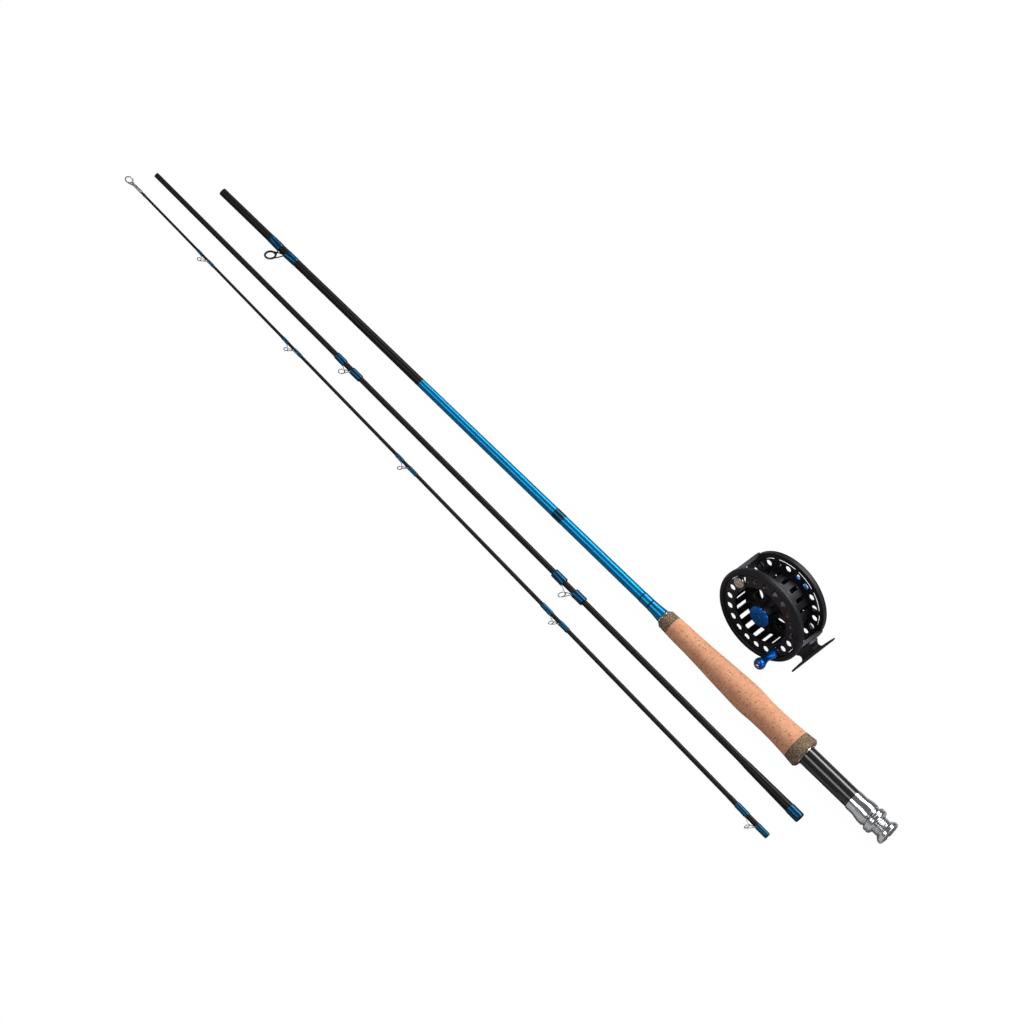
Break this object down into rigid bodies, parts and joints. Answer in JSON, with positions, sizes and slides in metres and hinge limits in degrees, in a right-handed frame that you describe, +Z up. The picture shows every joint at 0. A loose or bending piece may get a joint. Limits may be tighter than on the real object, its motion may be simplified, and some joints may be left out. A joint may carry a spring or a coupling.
{
  "type": "fly rod and reel set",
  "caption": "Three-section fly rod laid side by side, cork grip and threaded reel seat, with a large-arbor fly reel standing beside it.",
  "frame": {"origin": "centre of the bounding box on the floor that the rod sections and the reel lie on", "axes": "+X along the rod sections from thin end to thick end, -Y the side that the line guides and the reel's handle face, +Z up"},
  "size_m": [0.849, 0.1884, 0.0888],
  "materials": {
    "carbon_blank": "black carbon-fibre tube under clear satin lacquer, with blue metallic paint on part of it",
    "thread_wrap": "blue winding thread under clear epoxy",
    "guide_wire": "bent stainless wire",
    "black_steel": "black plated steel frame",
    "ring_insert": "polished dark ceramic ring",
    "chrome": "polished bright plated aluminium",
    "cork": "sanded natural cork",
    "burl_cork": "rubberised composite cork",
    "seat_weave": "woven carbon tube under clear lacquer",
    "foam": "rigid foam arbor",
    "black_anodised": "satin black anodised aluminium",
    "blue_anodised": "blue anodised aluminium",
    "bright_metal": "turned bare metal",
    "steel": "machined stainless steel",
    "drag_cork": "pressed cork drag washer"
  },
  "bodies": {
    "butt_section": {"butt_blank": "carbon_blank", "stripping_guide_frame": "black_steel", "stripping_guide_ring": "ring_insert", "stripper_wrap_front": "thread_wrap", "stripper_wrap_rear": "thread_wrap", "trim_wrap": "thread_wrap", "hosel_wrap": "thread_wrap", "winding_check": "chrome", "grip_front_ring": "burl_cork", "cork_grip": "cork", "grip_rear_ring": "burl_cork", "seat_collar": "chrome", "seat_arbor": "foam", "seat_barrel": "seat_weave", "seat_thread": "chrome", "butt_cap": "chrome"},
    "hood": {"sliding_hood": "chrome"},
    "nut": {"locking_nut": "chrome"},
    "mid_section": {"mid_blank": "carbon_blank", "mid_guide_1": "guide_wire", "mid_wrap_1_front": "thread_wrap", "mid_wrap_1_rear": "thread_wrap", "mid_guide_2": "guide_wire", "mid_wrap_2_front": "thread_wrap", "mid_wrap_2_rear": "thread_wrap", "mid_ferrule_wrap": "thread_wrap"},
    "tip_section": {"tip_blank": "carbon_blank", "tip_top": "guide_wire", "tip_top_wrap": "thread_wrap", "tip_guide_1": "guide_wire", "tip_wrap_1_front": "thread_wrap", "tip_wrap_1_rear": "thread_wrap", "tip_guide_2": "guide_wire", "tip_wrap_2_front": "thread_wrap", "tip_wrap_2_rear": "thread_wrap", "tip_guide_3": "guide_wire", "tip_wrap_3_front": "thread_wrap", "tip_wrap_3_rear": "thread_wrap", "tip_guide_4": "guide_wire", "tip_wrap_4_front": "thread_wrap", "tip_wrap_4_rear": "thread_wrap", "tip_guide_5": "guide_wire", "tip_wrap_5_front": "thread_wrap", "tip_ferrule_wrap": "thread_wrap"},
    "reel_body": {"reel_frame": "black_anodised", "reel_foot": "black_anodised", "foot_screw": "steel", "spindle": "steel", "drag_housing": "black_anodised", "drag_washer": "drag_cork"},
    "drag_rotor_body": {"drag_rotor": "steel"},
    "drag_knob_body": {"drag_knob": "blue_anodised"},
    "pawl": {"click_pawl": "steel"},
    "sleeve": {"clutch_sleeve": "steel"},
    "spool_body": {"spool": "black_anodised", "click_gear": "steel", "counterweight": "bright_metal", "handle_pin": "steel"},
    "cap": {"spool_cap": "blue_anodised"},
    "handle": {"handle_knob": "blue_anodised"}
  },
  "joints": [
    {"name": "hood_slide", "type": "slide", "parent": "butt_section", "child": "hood", "axis": [-0.9998, -0.0077, -0.016], "range_m": [0, 0.011]},
    {"name": "nut_turn", "type": "hinge", "parent": "hood", "child": "nut", "pos_m": [0.4076, 0.00096, 0.01588], "axis": [-0.9998, -0.0077, -0.016], "range_deg": [0, 2647]},
    {"name": "mid_lift", "type": "slide", "parent": "butt_section", "child": "mid_section", "axis": [0, 0, 1], "range_m": [0, 0.15]},
    {"name": "tip_lift", "type": "slide", "parent": "butt_section", "child": "tip_section", "axis": [0, 0, 1], "range_m": [0, 0.15]},
    {"name": "reel_lift", "type": "slide", "parent": "butt_section", "child": "reel_body", "axis": [0, 0, 1], "range_m": [0, 0.15]},
    {"name": "spool_pull", "type": "slide", "parent": "reel_body", "child": "sleeve", "axis": [0, -0.9968, -0.0802], "range_m": [0, 0.008]},
    {"name": "spool_spin", "type": "hinge", "parent": "sleeve", "child": "spool_body", "pos_m": [0.21787, 0.04609, 0.04393], "axis": [0, -0.9968, -0.0802], "continuous": true},
    {"name": "rotor_spin", "type": "hinge", "parent": "reel_body", "child": "drag_rotor_body", "pos_m": [0.21787, 0.04609, 0.04393], "axis": [0, -0.9968, -0.0802], "continuous": true},
    {"name": "cap_turn", "type": "hinge", "parent": "spool_body", "child": "cap", "pos_m": [0.21787, 0.04609, 0.04393], "axis": [0, -0.9968, -0.0802], "range_deg": [0, 90]},
    {"name": "handle_spin", "type": "hinge", "parent": "spool_body", "child": "handle", "pos_m": [0.24592, 0.04749, 0.02659], "axis": [0, -0.9968, -0.0802], "continuous": true},
    {"name": "drag_turn", "type": "hinge", "parent": "reel_body", "child": "drag_knob_body", "pos_m": [0.21787, 0.04609, 0.04393], "axis": [0, 0.9968, 0.0802], "range_deg": [0, 300]},
    {"name": "pawl_swing", "type": "hinge", "parent": "reel_body", "child": "pawl", "pos_m": [0.23073, 0.04571, 0.04864], "axis": [0, -0.9968, -0.0802], "range_deg": [-6, 6], "stiffness_Nm_per_rad": 0.002}
  ],
  "couplings": [
    {"joint": "nut_turn", "follows": "hood_slide", "rad_per_m": 4188.8},
    {"joint": "rotor_spin", "follows": "spool_spin", "ratio": 1}
  ]
}
